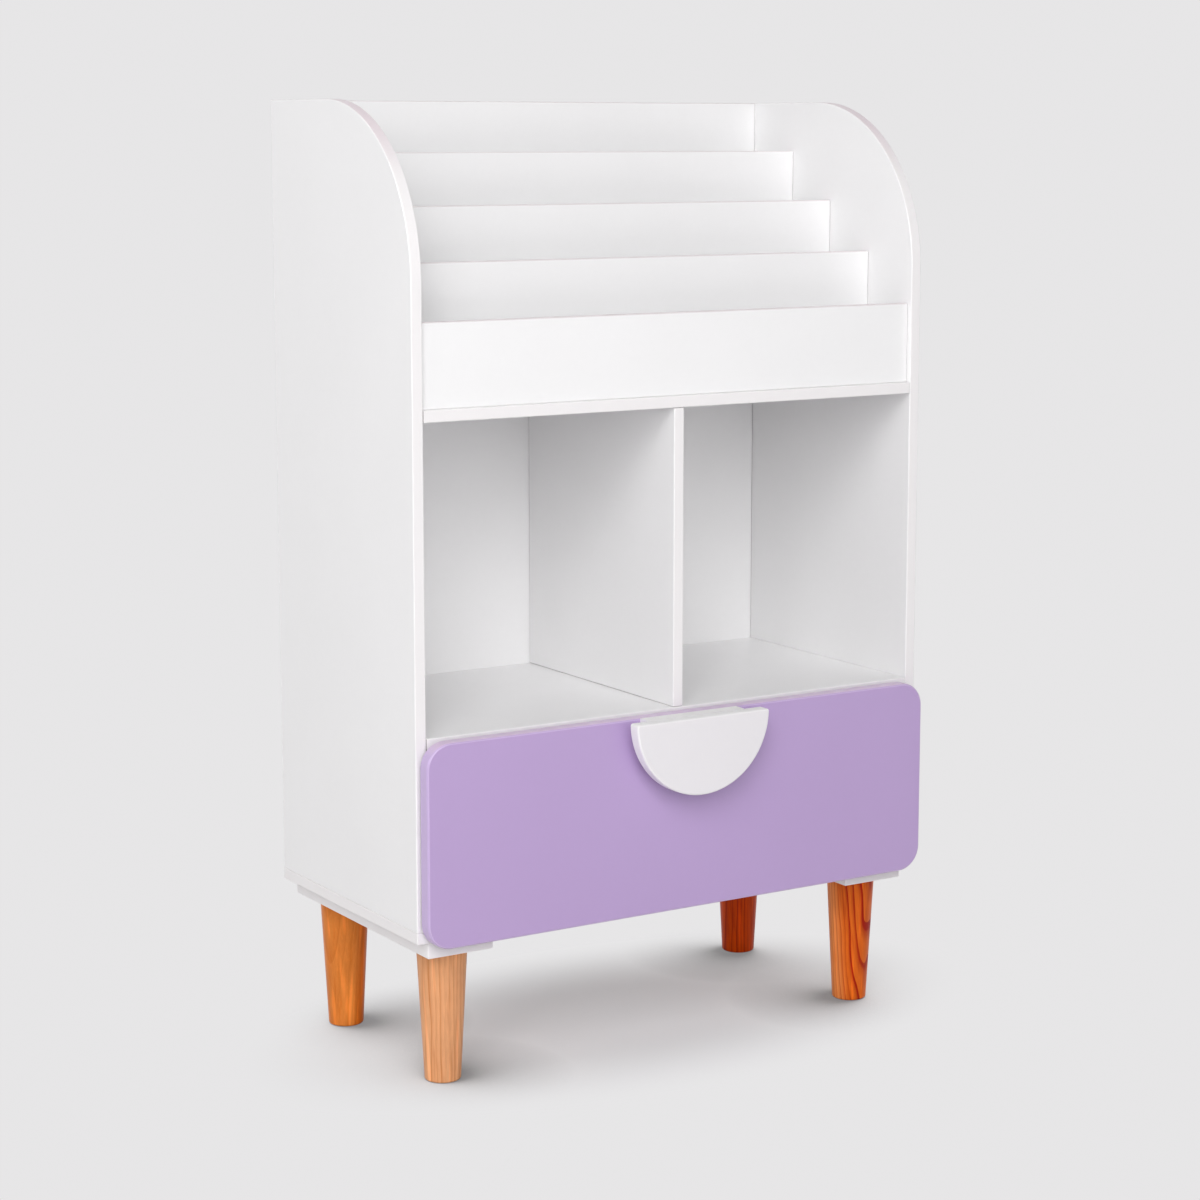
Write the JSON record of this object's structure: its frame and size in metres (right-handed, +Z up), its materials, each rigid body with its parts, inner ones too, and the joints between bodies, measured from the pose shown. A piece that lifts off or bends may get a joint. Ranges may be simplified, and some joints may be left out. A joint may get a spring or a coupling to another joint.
{
  "type": "bookshelf",
  "caption": "Children's bookshelf with stepped book slots between rounded side panels, open cubbies, a drawer on roller runners with a half-moon handle, and tapered wooden legs.",
  "frame": {"origin": "on the floor, under the middle of the whole outline with the drawer closed", "axes": "+Z up, +X to the right seen from the front, +Y from the front to the back"},
  "size_m": [0.616, 0.348, 0.982],
  "materials": {
    "white_board": "satin white lacquer on fibreboard",
    "lilac_board": "satin lilac lacquer on fibreboard",
    "hardboard": "white-faced hardboard",
    "turned_pine": "clear-lacquered turned pine, grain along the leg",
    "beech_dowel": "raw beech",
    "zinc_steel": "zinc-plated steel",
    "coated_runner": "white epoxy-coated sheet steel",
    "nylon": "white nylon"
  },
  "bodies": {
    "cabinet": {"bottom_panel": "white_board", "left_side_panel": "white_board", "right_side_panel": "white_board", "back_panel": "white_board", "lower_shelf": "white_board", "tier_shelf": "white_board", "cubby_divider": "white_board", "front_tier_panel": "white_board", "tier_divider_low": "white_board", "tier_divider_middle": "white_board", "tier_divider_high": "white_board", "tier_floor_low": "white_board", "tier_floor_middle": "white_board", "tier_floor_high": "white_board", "left_leg_rail": "white_board", "right_leg_rail": "white_board", "front_left_leg": "turned_pine", "front_right_leg": "turned_pine", "rear_left_leg": "turned_pine", "rear_right_leg": "turned_pine", "leg_hanger_bolts": "zinc_steel", "leg_insert_nuts": "zinc_steel", "rail_screws": "zinc_steel", "side_screws": "zinc_steel", "back_panel_screws": "zinc_steel", "wood_dowels": "beech_dowel", "cam_bolts": "zinc_steel", "cam_housings": "zinc_steel", "left_cabinet_runner": "coated_runner", "right_cabinet_runner": "coated_runner", "cabinet_runner_screws": "zinc_steel", "cabinet_roller_rivets": "zinc_steel"},
    "drawer": {"drawer_front": "lilac_board", "drawer_left_side": "white_board", "drawer_right_side": "white_board", "drawer_back": "white_board", "drawer_bottom": "hardboard", "left_drawer_runner": "coated_runner", "right_drawer_runner": "coated_runner", "drawer_runner_screws": "zinc_steel", "drawer_roller_rivets": "zinc_steel", "handle_plate": "white_board", "handle_spacer": "white_board", "handle_screws": "zinc_steel", "drawer_dowels": "beech_dowel", "drawer_cam_bolts": "zinc_steel", "drawer_cam_housings": "zinc_steel", "drawer_back_screws": "zinc_steel"},
    "left_cabinet_roller": {"left_cabinet_roller": "nylon"},
    "right_cabinet_roller": {"right_cabinet_roller": "nylon"},
    "left_drawer_roller": {"left_drawer_roller": "nylon"},
    "right_drawer_roller": {"right_drawer_roller": "nylon"}
  },
  "joints": [
    {"name": "drawer_slide", "type": "slide", "parent": "cabinet", "child": "drawer", "axis": [0, -1, 0], "range_m": [0, 0.19]},
    {"name": "left_cabinet_roller_spin", "type": "hinge", "parent": "cabinet", "child": "left_cabinet_roller", "pos_m": [-0.2895, -0.108, 0.1875], "axis": [1, 0, 0], "range_deg": [0, 1210]},
    {"name": "right_cabinet_roller_spin", "type": "hinge", "parent": "cabinet", "child": "right_cabinet_roller", "pos_m": [0.2895, -0.108, 0.1875], "axis": [1, 0, 0], "range_deg": [0, 1210]},
    {"name": "left_drawer_roller_spin", "type": "hinge", "parent": "drawer", "child": "left_drawer_roller", "pos_m": [-0.2895, 0.116, 0.1853], "axis": [1, 0, 0], "range_deg": [0, 1210]},
    {"name": "right_drawer_roller_spin", "type": "hinge", "parent": "drawer", "child": "right_drawer_roller", "pos_m": [0.2895, 0.116, 0.1853], "axis": [1, 0, 0], "range_deg": [0, 1210]}
  ],
  "couplings": [
    {"joint": "left_cabinet_roller_spin", "follows": "drawer_slide", "rad_per_m": 111.11},
    {"joint": "right_cabinet_roller_spin", "follows": "drawer_slide", "rad_per_m": 111.11},
    {"joint": "left_drawer_roller_spin", "follows": "drawer_slide", "rad_per_m": 111.11},
    {"joint": "right_drawer_roller_spin", "follows": "drawer_slide", "rad_per_m": 111.11}
  ]
}
